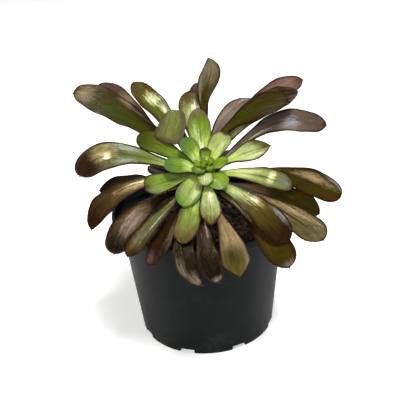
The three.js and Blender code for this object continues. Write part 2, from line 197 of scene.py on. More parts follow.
LEAVES = [
    row(0, 0, 3.2, 2.6, 72, 10),
    row(1, 10, 3.8, 3, 66, 15),
    row(2, 0, 4.4, 3.4, 60, 15),
    row(3, -15, 5, 4, 56, 20),
    row(4, 20, 5.6, 4.4, 52, 20),
    row(5, 0, 6.4, 5, 50, 20),
    row(6, 5, 8.5, 6.4, 54, 10),
    row(7, 25, 12, 7.5, 56, 25),
    row(8, -10, 13, 8.5, 52, 30, swing=-10),
    row(9, 0, 17, 10.5, 50, 30),
    row(10, 0, 18, 9.5, 48, 35),
    row(11, 5, 20, 12.5, 48, 50),
    row(12, 5, 20, 11.5, 44, 40),
    row(13, -28, 20, 12, 44, 40),
    row(14, -5, 31, 13, 42, 25, corner=1.8, peak=0.62),
    row(15, 8, 27, 13.5, 32, 40, swing=6, neck=0.42),
    row(16, -6, 33, 13, 34, 30, roll=10, blunt=0.8, peak=0.68, corner=1.6, neck=0.36, taper=1.8),
    row(17, 1, 36, 14.5, 29.5, 25, blunt=0.5),
    row(18, -15, 38, 12, 31.5, 37, swing=-6, thickness=2.1, corner=1.8, blunt=0.8),
    row(19, -0.5, 58, 19, 35, 23, swing=-88, swing_power=1, neck=0.24, taper=3, corner=2.6, skew=4),
    row(20, 0, 30, 15, 22, 20),
    row(21, -5, 46, 13.5, 29, 50, droop_power=1.5),
    row(22, 4, 56, 17, 27, 0, swing=-60, swing_power=2, hook=-190, hook_from=0.45, hook_to=0.8,
        peak=0.94, blunt=0.3, taper=2.6, skew=3),
    row(23, -1.5, 47, 14, 25.5, 38, roll=9),
    row(24, 21.5, 70, 17, 26, 25, swing=-43, swing_power=1.2, neck=0.3, thickness=2.1),
    row(25, 0, 68.5, 17, 26, 70, droop_power=3, swing=56, neck=0.36, taper=2, swing_power=3, roll=-15,
        blunt=0.45),
    row(26, -2, 63, 16, 26, 50, droop_power=1.5, peak=0.8),
    row(27, -0.5, 65.5, 13, 40, 30, swing=24, swing_power=4, neck=0.24, taper=5, peak=0.8, blunt=0.8,
        corner=1.8, skew=-8),
    row(28, 10, 64, 10.5, 24, 40, swing=-3, fold=0.45, peak=0.86),
    row(29, -7.5, 72.5, 16, 20.5, 40, droop_power=1.5, swing=-28, swing_power=0.8, roll=12, taper=3.4,
        blunt=0.4),
    row(30, -17.5, 65, 14, 33, 20, corner=2.1, blunt=0.5, skew=3.5),
    row(31, -11, 69.5, 11, 23, 37, swing=40, swing_power=3, taper=2.2, peak=0.86, skew=-2, blunt=0.5),
    row(32, 3.5, 80, 13.5, 26, 18, swing=-46, roll=18, corner=2, skew=-1, peak=0.84, taper=2.4),
    row(33, -1, 69.5, 14.5, 20, 50, droop_power=1.5, swing=66, swing_power=2.4, taper=1.3, blunt=0.75,
        corner=1.7),
    row(34, -6, 73, 17, 19, 31, swing=-16, taper=1.8, blunt=0.5, corner=2, peak=0.86, skew=2),
    row(35, -7, 49, 14, 41, 30, droop_power=1.5, swing=-8),
    row(36, -2, 60, 11, 20, 40, taper=1.8, blunt=0.45),
    row(37, 20, 82, 17, 24, 35, swing=-51, swing_power=2, blunt=0.55, taper=2.4, neck=0.26, skew=-6,
        corner=2, roll=14),
    row(38, -25.5, 87, 22.5, 26, 15, swing=46, swing_power=2, taper=1.8, peak=0.84, thickness=1.7,
        corner=2.6, blunt=0.5, skew=-5),
    row(39, 8.5, 73, 17, 22, 37, swing=-12, peak=0.84, taper=3, neck=0.32, thickness=2),
    row(40, 6, 59.5, 11.5, 30, 30, swing=-50, swing_power=1.2, taper=2.2),
    row(41, -5, 64.5, 17, 18, 40, swing=46, taper=2.2, blunt=0.5, corner=3),
    row(42, -9, 62, 18, 14, 30, swing=-12),
    row(43, 2.5, 85, 15.5, 22, 8, swing=10, thickness=1.7, peak=0.86, taper=2.4),
    row(44, -9.6, 73, 11, 25, 45, swing=80, swing_power=4.5, taper=1),
    row(46, -5, 54, 14, 14, 30, swing=12),
    row(48, -5, 66, 12, 30, 20, swing=4),
    row(52, -0.5, 68, 15.5, 25, 41, peak=0.88, taper=2, corner=1.2, blunt=0.9, skew=-1.5),
    row(53, 5, 56, 15, -7, 26),
    row(56, 0, 60, 15, -18, 20),
    row(59, -21, 32.5, 10, 17, 20),
    row(61, 6, 58, 14, -18, 20),
]

# Colours of the plant, as seen in daylight. The colour lime is set paler than the young leaves' own
# colour: painted light for the shade deep in the heart.
COLOURS = dict(
    lime="a0b458", apple="5d7424", fresh="7b894a", jade="40602a", sage="8a9660", cream="a8b078",
    moss="2b3604", fern="485110", reed="6c703a", lichen="4b4f27", olive="2b2404", khaki="413810",
    mustard="483c0a", tan="7f6c4d", bronze="3a2b10", umber="1f1006", rust="6a4210", wine="3f1c12",
    rosewood="644c44", plum="47362f", mauve="61554c", pewter="4f4930", slate="5c635a", ink="0c0602",
    ash="5c5446", gold="a18e60", pearl="c4c898", beige="7b6a50", silver="7b8373", straw="87835c",
    blush="86746a", mist="7b7b7f", white="e2e2cc", grass="68881e", willow="565c2e", grape="33211f",
)


class Look(NamedTuple):
    """How a leaf is coloured: along its upper face, towards its margin, and underneath.

    skin names the colours at the root, middle and end, and spread is how far in from the
    margin the flush reaches. rim is a line at the very margin: its colour, reach and
    strength, or None for the usual one. Distances are in millimetres.
    """
    skin: str
    flush: str
    spread: float
    under: str
    slot: str
    shine: float = 0.4
    rim: tuple = None


YOUNG_RIM = ("wine", 0.6, 0.35)
GROWN_RIM = ("umber", 1.4, 1.0)

LIME = Look("grass grass apple", "apple", 0.8, "apple", "lime")
JADE = Look("lime apple jade", "jade", 2.5, "jade", "lime")
PALE = Look("lime fresh fresh", "khaki", 1.4, "sage", "lime")
DEEP = Look("lime apple moss", "moss", 1.0, "moss", "lime")

# Leaves 24, 37, 39 and 42 lie in the shade of others, and their roots are painted paler than their
# own colour: painted light.
LOOKS = {
    0: LIME, 1: LIME, 2: LIME, 3: LIME, 4: LIME, 5: LIME, 6: DEEP, 7: JADE, 8: LIME, 9: JADE,
    10: PALE, 11: PALE, 12: JADE, 13: LIME,
    14: Look("lime apple fern", "pewter", 2.5, "apple", "lime"),
    15: Look("lime fresh apple", "jade", 3.5, "jade", "lime"),
    16: Look("lime sage khaki", "bronze", 1.6, "sage", "green"),
    17: Look("apple fern moss", "moss", 2, "moss", "green", shine=0.2),
    18: Look("lime sage khaki", "khaki", 1.5, "khaki", "green"),
    19: Look("khaki olive olive", "umber", 3.5, "khaki", "olive", shine=0.04),
    20: Look("fresh apple fern", "khaki", 1.2, "fern", "green"),
    21: Look("lime fresh pewter", "khaki", 3, "fern", "green"),
    22: Look("apple fern willow", "bronze", 3, "willow", "green", shine=0.15, rim=("plum", 4, 0.8)),
    23: Look("lime apple khaki", "khaki", 2.5, "khaki", "green"),
    24: Look("lime fern umber", "bronze", 3, "fern", "olive", shine=0.08),
    25: Look("fresh lichen umber", "bronze", 2.5, "bronze", "olive"),
    26: Look("fresh khaki umber", "umber", 3, "bronze", "olive", shine=0.15),
    27: Look("khaki olive pewter", "olive", 2.5, "mauve", "bronze", shine=0.2),
    28: Look("khaki lichen bronze", "umber", 2, "bronze", "olive", shine=0.2),
    29: Look("khaki olive olive", "umber", 2.5, "plum", "bronze", shine=0.15),
    30: Look("fresh fern khaki", "bronze", 4, "bronze", "olive"),
    31: Look("umber umber ink", "umber", 2, "bronze", "bronze"),
    32: Look("plum plum rosewood", "grape", 2, "grape", "purple"),
    33: Look("tan bronze umber", "umber", 3, "plum", "bronze", shine=0.15),
    34: Look("tan khaki pewter", "bronze", 2, "bronze", "olive", shine=0.15),
    35: Look("rust sage khaki", "bronze", 2.5, "rust", "green"),
    36: Look("umber umber umber", "wine", 1.5, "wine", "purple"),
    37: Look("blush mauve plum", "grape", 2, "plum", "purple", shine=0.3),
    38: Look("bronze olive olive", "khaki", 2.5, "bronze", "olive", shine=0.3),
    39: Look("tan bronze olive", "umber", 3, "bronze", "olive", shine=0.1),
    40: Look("plum mauve plum", "grape", 2, "mauve", "purple"),
    41: Look("umber bronze ink", "umber", 3, "umber", "bronze"),
    42: Look("tan khaki khaki", "bronze", 2.5, "umber", "bronze", shine=0.1),
    43: Look("umber beige grape", "grape", 2, "grape", "purple", shine=0.2),
    44: Look("umber ink umber", "umber", 2, "bronze", "bronze", shine=0.25),
    46: Look("bronze ink ink", "ink", 2, "umber", "bronze", shine=0.1),
    48: Look("plum grape grape", "ink", 2, "grape", "purple", shine=0.25),
    52: Look("tan tan khaki", "mauve", 1.2, "bronze", "olive", shine=0.2),
    53: Look("reed mustard bronze", "umber", 4, "plum", "bronze"),
    56: Look("bronze olive bronze", "umber", 4, "plum", "bronze"),
    59: Look("ink ink ink", "ink", 3, "wine", "purple", shine=0.1),
    61: Look("plum plum wine", "ink", 3, "wine", "purple"),
}

# Patches of a leaf's upper face: colour, place along and across it, reach both ways, and
# strength, all in percent. Places run from 0 to 100 along the leaf, and -100 to 100 across it.
# The pale ones (white, pearl, cream, gold, beige, silver, straw, blush, mist, tan) are painted
# highlights and sheen. The pale and light green ones on leaves that lie in shade, such as 17, 20,
# 23, 24 and 37, are painted light. The dark ones darken tips, margins and the midrib, and the
# one along the edge of leaf 28 is painted shade.
PAINTED_SHEEN_AND_MARKS = {
    6: ["umber 100 0 15 80 80"],
    8: ["wine 98 -30 14 70 90"],
    9: ["jade 70 80 40 40 90"],
    10: ["pearl 50 0 30 70 80", "wine 100 0 8 60 80"],
    11: ["cream 55 -30 30 40 80", "wine 97 10 7 90 90"],
    14: ["white 25 5 10 25 100", "cream 45 30 25 30 60", "mauve 97 20 12 90 90"],
    15: ["cream 60 50 25 35 80"],
    16: ["white 20 -30 10 30 90", "cream 75 -60 25 40 80", "khaki 82 75 24 40 100",
         "umber 100 30 7 70 90"],
    17: ["apple 35 30 30 60 90"],
    18: ["white 50 10 15 25 80", "fresh 75 20 15 90 70"],
    19: ["moss 55 10 25 60 60"],
    20: ["apple 50 0 40 80 50", "umber 98 0 10 90 80"],
    21: ["cream 40 30 18 50 90", "moss 60 -5 20 22 80", "pearl 73 10 4.5 65 100",
         "fern 74 -10 8 10 80", "fern 80 -95 25 30 90", "slate 88 10 8 60 70"],
    23: ["lime 40 20 20 60 90", "umber 62 -95 16 40 90", "khaki 75 -90 20 40 80"],
    24: ["pearl 40 0 14 90 100"],
    25: ["fern 40 0 14 60 70", "gold 73 -25 10 65 70", "white 72 0 3 25 80",
         "silver 56 -60 12 40 100", "silver 58 55 10 35 80", "umber 97 30 13 120 100"],
    26: ["gold 53 45 10 35 100", "white 53 50 5 15 70", "cream 35 10 20 50 80",
         "mist 78 85 12 20 80"],
    27: ["ash 75 70 25 30 90", "ash 92 10 10 90 50"],
    28: ["white 50 5 30 8 70", "straw 35 -50 12 30 60", "ash 80 -30 12 40 80",
         "umber 97 50 8 90 90", "umber 55 95 30 45 100"],
    29: ["tan 76 40 16 30 90", "beige 78 25 6 15 70", "mist 92 90 10 22 80", "wine 97 -60 6 50 70"],
    30: ["pearl 76 -25 8 50 100", "pearl 62 -40 7 25 90", "cream 30 -20 20 60 80",
         "silver 62 -85 16 20 70", "bronze 70 90 25 40 100"],
    31: ["blush 52 50 13 22 90", "mauve 98.5 0 3 120 100"],
    32: ["beige 55 -20 14 35 90", "rosewood 80 30 12 50 80", "wine 97 0 5 100 80"],
    33: ["gold 42 5 20 45 100", "white 44 -25 10 12 90", "umber 50 -95 40 25 90"],
    34: ["beige 72 50 20 35 100", "tan 40 40 20 30 80", "beige 60 -40 12 35 90",
         "umber 60 0 40 6 90"],
    35: ["white 70 -30 14 35 90", "cream 60 -20 22 50 90", "rust 40 80 30 30 90",
         "rust 75 95 20 25 90"],
    36: ["blush 55 75 12 25 90", "plum 95 -40 8 70 90"],
    37: ["beige 40 -20 16 70 100", "white 42 -40 12 20 80", "mist 71 -10 7 60 100",
         "ink 100 0 4 100 90"],
    38: ["beige 93 -20 6 80 80", "beige 60 -80 14 18 80", "moss 65 20 25 55 90"],
    39: ["pearl 40 -10 14 60 90", "ash 99 10 4 100 100"],
    40: ["blush 60 30 30 40 60"],
    41: ["blush 68 5 16 55 65", "beige 62 -30 6 20 70"],
    42: ["beige 38 -30 12 60 90"],
    43: ["plum 95 0 10 100 80", "beige 66 20 10 50 80"],
    44: ["mauve 95 -20 8 90 90", "ash 84 -60 10 50 80"],
    52: ["umber 50 -95 30 50 90", "olive 80 -10 10 90 100", "mauve 88 90 14 25 90"],
}


# Small sums
def smooth(x):
    """A soft step from 0 to 1."""
    x = np.clip(x, 0, 1)
    return x * x * (3 - 2 * x)


def bell(x):
    """A soft hump, 1 at 0."""
    return np.exp(-np.square(x))


def turn_x(angle):
    """A turn about X."""
    c, s = math.cos(angle), math.sin(angle)
    return np.array([[1, 0, 0], [0, c, -s], [0, s, c]])


def turn_z(angle):
    """A turn about Z."""
    c, s = math.cos(angle), math.sin(angle)
    return np.array([[c, -s, 0], [s, c, 0], [0, 0, 1]])


def full_turn(count):
    """Evenly spaced angles round a circle."""
    return np.linspace(0, math.tau, count, endpoint=False)


def circle(angles, radius, height=0):
    """Points round the upright axis, at those angles."""
    return np.stack([radius * np.cos(angles), radius * np.sin(angles), 0 * angles + height], -1)


def linear(code):
    """A colour written as in a web page, as the numbers that light is reckoned with."""
    parts = [int(code[i:i + 2], 16) / 255 for i in (0, 2, 4)]
    return tuple(c / 12.92 if c <= 0.04045 else ((c + 0.055) / 1.055) ** 2.4 for c in parts)


def colour(name):
    """A named colour of the plant."""
    return linear(COLOURS[name])


# Meshes
class Shape:
    """Points and faces gathered for one piece, with named values at each point."""

    def __init__(self):
        self.points = []
        self.faces = []
        self.looks = []
        self.facts = {}
        self.count = 0

    def add(self, points, faces, look=0, **facts):
        self.points.append(points)
        self.faces.extend([tuple(i + self.count for i in face) for face in faces])
        self.looks.extend([look] * len(faces))
        for name, values in facts.items():
            self.facts.setdefault(name, []).append(values)
        self.count += len(points)

    def mesh(self, name):
        """The points and faces as a mesh, in metres."""
        mesh = bpy.data.meshes.new(name)
        mesh.from_pydata(np.vstack(self.points) * METRES, [], self.faces)
        return mesh

    def piece(self, name, materials, replaced):
        """The finished object, in place of its solids."""
        mesh = self.mesh(name)
        mesh.polygons.foreach_set("material_index", np.array(self.looks, np.int32))
        mesh.shade_smooth()
        for fact, parts in self.facts.items():
            values = np.concatenate(parts).astype(np.float32)
            flat = values.ndim == 1
            kind = "FLOAT" if flat else "FLOAT_VECTOR"
            layer = mesh.attributes.new(fact, kind, "POINT")
            layer.data.foreach_set("value" if flat else "vector", values.ravel())
        mesh.validate()
        return dress(name, mesh, materials, replaced)


def add_object(name, data):
    """A new object, linked to the scene."""
    made = bpy.data.objects.new(name, data)
    bpy.context.scene.collection.objects.link(made)
    return made


def dress(name, mesh, materials, replaced):
    """A finished object, riding on the body in place of its solids."""
    made = add_object(name, mesh)
    for material in materials:
        mesh.materials.append(material)
    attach(made, BODY)
    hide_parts(*replaced)
    return made


def ring_faces(rings, count):
    """Faces between rings of count points, and fans to the two end points that follow them."""
    faces = []
    for i in range(rings - 1):
        for j in range(count):
            k = (j + 1) % count
            faces.append((i * count + j, i * count + k, (i + 1) * count + k, (i + 1) * count + j))
    end = rings * count
    for j in range(count):
        k = (j + 1) % count
        faces.append((end, k, j))
        faces.append((end + 1, end - count + j, end - count + k))
    return faces


# Stem
def stem_lean(distance):
    """How far the stem leans forward, by the distance down it from the growing point."""
    share = min(distance, BEND_LENGTH) / BEND_LENGTH
    return math.radians(LEAN_TOP + (LEAN_FOOT - LEAN_TOP) * share)


def stem_point(distance):
    """A point of the stem's centreline, by the distance down it."""
    bent = min(distance, BEND_LENGTH)
    straight = distance - bent
    rate = math.radians(LEAN_FOOT - LEAN_TOP) / BEND_LENGTH
    top, lean = stem_lean(0), stem_lean(bent)
    back = (math.cos(top) - math.cos(lean)) / rate + straight * math.sin(lean)
    down = (math.sin(lean) - math.sin(top)) / rate + straight * math.cos(lean)
    aside = APEX[0] * (1 - bent / BEND_LENGTH)
    return np.array([aside, APEX[1] + back, APEX[2] - down])


def around_stem(distance, angles, radii):
    """Points round the stem at a distance down it."""
    return stem_point(distance) + circle(angles, radii) @ turn_x(stem_lean(distance)).T


def leaf_down(n):
    """How far down the stem a leaf's root is."""
    if n < HEART_LEAVES:
        return HEART_DOWN + HEART_PITCH * n
    return OUTER_DOWN + OUTER_PITCH * (n - HEART_LEAVES)


def scar_relief(distance, angles):
    """The stem's surface about its radius: a raised lip and a dip where each old leaf fell."""
    relief = np.zeros_like(angles)
    for n in SCAR_PLACES:
        off = (distance - leaf_down(n)) / SCAR_HIGH
        if abs(off) > 3:
            continue
        turn = np.radians(FIRST_AZIMUTH + GOLDEN_ANGLE * n)
        apart = np.angle(np.exp(1j * (angles - turn))) * STEM_RADIUS / SCAR_WIDE
        far = np.sqrt(off ** 2 + apart ** 2)
        relief += SCAR_DEPTH * (0.55 * bell((far - 1) / 0.45) - 0.5 * bell(far / 0.8))
    return relief


def make_stem(material):
    """The woody stem, with the scars of fallen leaves winding down it."""
    angles = full_turn(STEM_POINTS)
    distances = np.linspace(STEM_END, STEM_TOP - STEM_OVERLAP, STEM_RINGS)
    around, down = BARK_WAVES
    rings, depths = [], []
    for distance in distances:
        relief = scar_relief(distance, angles)
        grain = [noise.noise((math.cos(a) * around, math.sin(a) * around, distance * down))
                 for a in angles]
        radii = STEM_RADIUS - STEM_SHRINK + np.clip(relief, *SCAR_LIMITS)
        radii = radii + BARK_RELIEF * np.array(grain)
        rings.append(around_stem(distance, angles, radii))
        depths.append(relief / SCAR_DEPTH)
    ends = np.array([stem_point(distances[0]), stem_point(distances[-1])])
    points = np.vstack([*rings, ends])
    scar = np.concatenate([*depths, [0, 0]])
    shape = Shape()
    shape.add(points, ring_faces(STEM_RINGS, STEM_POINTS), scar=scar)
    return shape.piece("stem_wood", [material], ["stem"])


# Leaves
def root_radius(leaf):
    """How far off the stem's centreline a leaf's root is."""
    if leaf.n < HEART_LEAVES:
        return min(HEART_ROOT_MOST, HEART_ROOT + HEART_ROOT_PITCH * leaf.n)
    return STEM_RADIUS + ROOT_GAP


def half_width(leaf, t):
    """Half the blade's width, with a small point at its very tip."""
    start = 0.05
    growth = smooth((t - start) / (leaf.peak - start)) ** leaf.taper
    past = np.clip((t - leaf.peak) / (1 - leaf.peak), 0, 1)
    tip = (1 - past ** leaf.corner) ** leaf.blunt
    blade = leaf.width / 2 * (leaf.neck + (1 - leaf.neck) * growth) * tip
    return np.maximum(blade, TIP_HALF * tip_share(leaf, t))


def tip_share(leaf, t):
    """1 along the leaf, and less along the small point that runs on from its end."""
    beyond = (t - 1) * leaf.length
    return np.clip(1 - beyond / TIP_REACH, TIP_LEAST, 1)


def leaf_thickness(leaf, t):
    """The flesh thins along the leaf, and faster over its last tenth."""
    inside = np.clip(t, 0, 1)
    end = np.clip((inside - 0.9) / 0.1, 0, 1)
    flesh = leaf.thickness * (1 - 0.45 * inside) * (1 - 0.65 * end ** 2)
    return flesh * tip_share(leaf, t)


def leaf_heading(leaf, t):
    """Directions along and across the leaf, in the stem's frame turned to the leaf."""
    azimuth = np.radians(leaf.swing * t ** leaf.swing_power)
    hooked = smooth((t - leaf.hook_from) / (leaf.hook_to - leaf.hook_from))
    fall = leaf.droop * t ** leaf.droop_power + leaf.hook * hooked
    elevation = np.radians(leaf.rise - fall)
    level = np.cos(elevation)
    along = np.stack([level * np.cos(azimuth), level * np.sin(azimuth), np.sin(elevation)], -1)
    across = np.stack([-np.sin(azimuth), np.cos(azimuth), 0 * t], -1)
    return along, across


def leaf_path(leaf, t):
    """Centre points and directions across and up, at the shares t of the leaf's length."""
    middles = (np.arange(PATH_STEPS) + 0.5) / PATH_STEPS
    steps = leaf_heading(leaf, middles)[0] * leaf.length / PATH_STEPS
    fine = np.vstack([np.zeros(3), np.cumsum(steps, 0)])
    fine[:, 0] += root_radius(leaf)
    knots = np.linspace(0, 1, PATH_STEPS + 1)
    centre = np.stack([np.interp(t, knots, fine[:, i]) for i in range(3)], -1)
    inside = np.clip(t, 0, 1)
    along, across = leaf_heading(leaf, inside)
    centre += along * (leaf.length * (t - inside))[:, None]
    up = np.cross(along, across)
    roll = (math.radians(leaf.roll) * smooth(inside / 0.6))[:, None]
    rolled = np.cos(roll) * across + np.sin(roll) * up
    return centre, rolled, np.cos(roll) * up - np.sin(roll) * across


def leaf_stations(leaf, count):
    """Shares of the length where a section stands: closer at both ends, and into the point."""
    even = np.linspace(0, 1, count)
    eased = 0.55 * even + 0.45 * (0.5 - 0.5 * np.cos(math.pi * even))
    root = [-ROOT_REACH / leaf.length]
    near = 1 - np.array([0.006, 0.003, 0.0012, 0.0004])
    point = 1 + np.array([0.2, 0.6, 1]) * TIP_REACH / leaf.length
    return np.concatenate([root, eased[:-1], near, point])


def blade_waves(leaf, along, across, side, t):
    """How the whole blade waves and puckers, the same on both faces."""
    random = np.random.default_rng(WAVE_SEED + leaf.n)
    blade = smooth((t - 0.2) / 0.4)
    waves = np.zeros_like(across)
    for edge in (-1, 1):
        length, phase = random.uniform(11, 19), random.uniform(0, math.tau)
        reach = np.clip(edge * side, 0, 1) ** 3
        waves += leaf.wave * reach * np.sin(math.tau * along / length + phase)
    for _ in range(PUCKERS):
        heading, length = random.uniform(1.1, 2.0), random.uniform(3, 8)
        phase = random.uniform(0, math.tau)
        run = along * math.cos(heading) + across * math.sin(heading)
        waves += PUCKER_SHARE * leaf.wave * np.sin(math.tau * run / length + phase)
    pleats = random.uniform(5, 8)
    pleat = np.cos(pleats * side * (1 - 0.3 * t) + random.uniform(0, 6))
    waves += PLEAT_SHARE * leaf.wave * pleat
    return waves * blade


def section_lift(leaf, half, side, face, t):
    """How high each point of each section stands: cup and fold, flesh, midrib and waves."""
    hollow = half * smooth(t / 0.3) * (
        leaf.cup * (side ** 2 - 0.5) + leaf.fold * (np.abs(side) - 0.5)
    )
    flesh = leaf_thickness(leaf, t) * face
    body = flesh * np.where(face > 0, FLESH_ABOVE, 1 - FLESH_ABOVE)
    rib = leaf.thickness * smooth(t / 0.12) * np.clip(1 - t, 0, 1) ** 0.6
    groove = np.where(face > 0, -0.16 * bell(side / 0.1), -0.13 * bell(side / 0.16)) * rib
    waves = blade_waves(leaf, t * leaf.length, half * side, side, t)
    return hollow + body + groove * (face != 0) + waves


def on_stem(leaf, points):
    """A leaf's points, turned and moved from its own frame to its root on the stem."""
    distance = leaf_down(leaf.n)
    azimuth = math.radians((FIRST_AZIMUTH + GOLDEN_ANGLE * leaf.n + leaf.turn) % 360)
    frame_turn = turn_x(stem_lean(distance)) @ turn_z(azimuth)
    return points @ frame_turn.T + stem_point(distance)


def leaf_surface(leaf, grid):
    """Points of a leaf in place, with what its skin needs to know at each of them."""
    stations, count = grid
    t = leaf_stations(leaf, stations)
    angles = full_turn(count)
    side, face = np.cos(angles)[None, :], np.sin(angles)[None, :]
    half, share = half_width(leaf, t)[:, None], t[:, None]
    along, across = share * leaf.length, half * side
    lift = section_lift(leaf, half, side, face, share)
    centre, aside, up = leaf_path(leaf, t)
    bent = smooth((share - leaf.peak + 0.25) / (1.25 - leaf.peak))
    centre = centre + aside * (leaf.skew * bent)
    flat = centre[:, None] + aside[:, None] * across[..., None] + up[:, None] * lift[..., None]
    ends = np.array([centre[0], centre[-1] + (centre[-1] - centre[-2]) * 0.3])
    points = on_stem(leaf, np.vstack([flat.reshape(-1, 3), ends]))
    inward = np.minimum(half * (1 - np.abs(side)), np.clip(1 - share, 0, 1) * leaf.length)

    def at_points(values, root, tip):
        return np.append(np.broadcast_to(values, across.shape).ravel(), [root, tip])

    apart = GRAIN_STEP * leaf.n
    place = [
        at_points(along, 0, leaf.length),
        at_points(across, 0, 0),
        at_points(apart, apart, apart),
    ]
    facts = {
        "leaf_along": at_points(np.clip(share, 0, 1), 0, 1),
        "leaf_side": at_points(side, 0, 0),
        "leaf_face": at_points(face, 0, 0),
        "leaf_inward": at_points(inward, 2, 0),
        "leaf_place": np.stack(place, -1),
    }
    return points, ring_faces(len(t), count), facts


def finish_of(leaf):
    """A leaf's look and its patches of painted highlight, painted light and darker marks."""
    return LOOKS[leaf.n], PAINTED_SHEEN_AND_MARKS.get(leaf.n, ())


def make_leaf(leaf):
    """An outer leaf, a piece of its own."""
    points, faces, facts = leaf_surface(leaf, OUTER_GRID)
    name = f"leaf_{leaf.n}"
    look, spots = finish_of(leaf)
    shape = Shape()
    shape.add(points, faces, **facts)
    skin = leaf_skin(name, look, spots)
    return shape.piece(f"{name}_blade", [skin], [name])


def make_heart():
    """The growing point: the young leaves and the short cone that they grow from."""
    shape = Shape()
    finishes = []
    for leaf in LEAVES[:HEART_LEAVES]:
        finish = finish_of(leaf)
        if finish not in finishes:
            finishes.append(finish)
        points, faces, facts = leaf_surface(leaf, HEART_GRID)
        shape.add(points, faces, finishes.index(finish), **facts)
    angles = full_turn(HEART_GRID[1])
    distances = np.linspace(CORE_LENGTH, CORE_TIP, CORE_RINGS)
    rings = [around_stem(d, angles, CORE_RADIUS * math.sqrt(d / CORE_LENGTH)) for d in distances]
    ends = np.array([stem_point(CORE_LENGTH), stem_point(CORE_TIP)])
    points = np.vstack([*rings, ends])
    plain = np.zeros(len(points))
    facts = {"leaf_along": plain, "leaf_side": plain, "leaf_face": plain + 1,
             "leaf_inward": plain + 3, "leaf_place": points}
    shape.add(points, ring_faces(len(distances), len(angles)), 0, **facts)
    skins = [leaf_skin(f"heart_{i}", *finish) for i, finish in enumerate(finishes)]
    return shape.piece("heart_leaves", skins, ["heart"])


# Soil
def seeded_random(seed):
    """Random numbers from 0 to 1, the same as those of the solids."""
    state = seed
    while True:
        state = (state * RANDOM_FACTOR + RANDOM_STEP) % RANDOM_RANGE
        yield state / RANDOM_RANGE


def soil_level():
    """The height of the soil's surface at any place, lumps included, and its edge's radius."""
    draw = seeded_random(LUMP_SEED)
    shortest, longest = LUMP_LENGTHS
    waves = []
    for _ in range(LUMP_WAVES):
        heading = math.tau * next(draw)
        length = shortest + (longest - shortest) * next(draw)
        waves.append((heading, length, math.tau * next(draw)))
    slope = (WALL_TOP_RADIUS - BASE_RADIUS) / (POT_HEIGHT - LIP_HEIGHT)
    edge = BASE_RADIUS - WALL - CLEARANCE + slope * (SOIL_EDGE_HEIGHT - WALL_START)

    def level(x, y):
        share = np.hypot(x, y) / edge
        lump = 0
        for heading, length, phase in waves:
            run = x * math.cos(heading) + y * math.sin(heading)
            lump = lump + LUMP_HEIGHT * np.sin(math.tau * run / length + phase)
        return SOIL_EDGE_HEIGHT + SOIL_CROWN * (1 - share ** 2) + lump * (1 - 0.5 * share ** 6)

    return level, edge


def crumb_ball():
    """A small ball's points and faces."""
    ball = bmesh.new()
    bmesh.ops.create_icosphere(ball, subdivisions=2, radius=1)
    points = np.array([v.co[:] for v in ball.verts])
    faces = [tuple(v.index for v in f.verts) for f in ball.faces]
    ball.free()
    return points, faces


def add_crumbs(shape, level, edge, foot):
    """Bits of peat, bark and grit lying in the surface."""
    random = np.random.default_rng(CRUMB_SEED)
    ball, faces = crumb_ball()
    for look, part, sizes, stretch in CRUMB_KINDS:
        for _ in range(int(CRUMB_COUNT * part)):
            angle = random.uniform(0, math.tau)
            radius = (edge - 1) * math.sqrt(random.uniform(0, 1))
            x, y = radius * math.cos(angle), radius * math.sin(angle)
            size = random.uniform(*sizes)
            spin = turn_z(random.uniform(0, 6.3)) @ turn_x(random.uniform(0, 3.1))
            scale = size * random.uniform(*stretch, 3) * (1, 1, CRUMB_FLATNESS)
            bumps = 1 + CRUMB_BUMPS * random.standard_normal(len(ball))
            if math.hypot(x - foot[0], y - foot[1]) < STEM_RADIUS + size:
                continue
            points = (ball * bumps[:, None] * scale) @ spin.T
            z = level(x, y) + size * random.uniform(*CRUMB_LIFT)
            shape.add(points + (x, y, z), faces, look)


def make_soil(materials):
    """The potting mix: a rough crumbly top, walls inside the pot, and a place for the stem."""
    level, edge = soil_level()
    rings, count = SOIL_GRID
    angles = full_turn(count)
    around = np.stack([np.cos(angles), np.sin(angles)], -1)
    distance = next(d for d in np.arange(*FOOT_SEARCH) if stem_point(d)[2] < SOIL_EDGE_HEIGHT + 1)
    foot = stem_point(distance)[:2]
    bottom, sunk = FLOOR + CLEARANCE, SOIL_EDGE_HEIGHT - SOIL_DIP
    points = [circle(angles, BASE_RADIUS - 2, bottom),
              circle(angles, edge - 0.4, SOIL_EDGE_HEIGHT - SOIL_SHOULDER)]
    for i in range(rings):
        share = (i / (rings - 1)) ** SOIL_EASE
        flat = around * edge * (1 - share) + (foot + around * (STEM_RADIUS + 0.2)) * share
        height = level(flat[:, 0], flat[:, 1])
        rough = [noise.fractal((x, y, 3), 0.8, 2, 4) for x, y in flat * SOIL_GRAIN]
        points.append(np.column_stack([flat, height + SOIL_ROUGHNESS * np.array(rough)]))
    points.append(circle(angles, STEM_RADIUS - 1, sunk) + (*foot, 0))
    ends = np.array([(0, 0, bottom), (*foot, sunk)])
    shape = Shape()
    shape.add(np.vstack([*points, ends]), ring_faces(len(points), count))
    add_crumbs(shape, level, edge, foot)
    return shape.piece("potting_mix", materials, ["soil"])


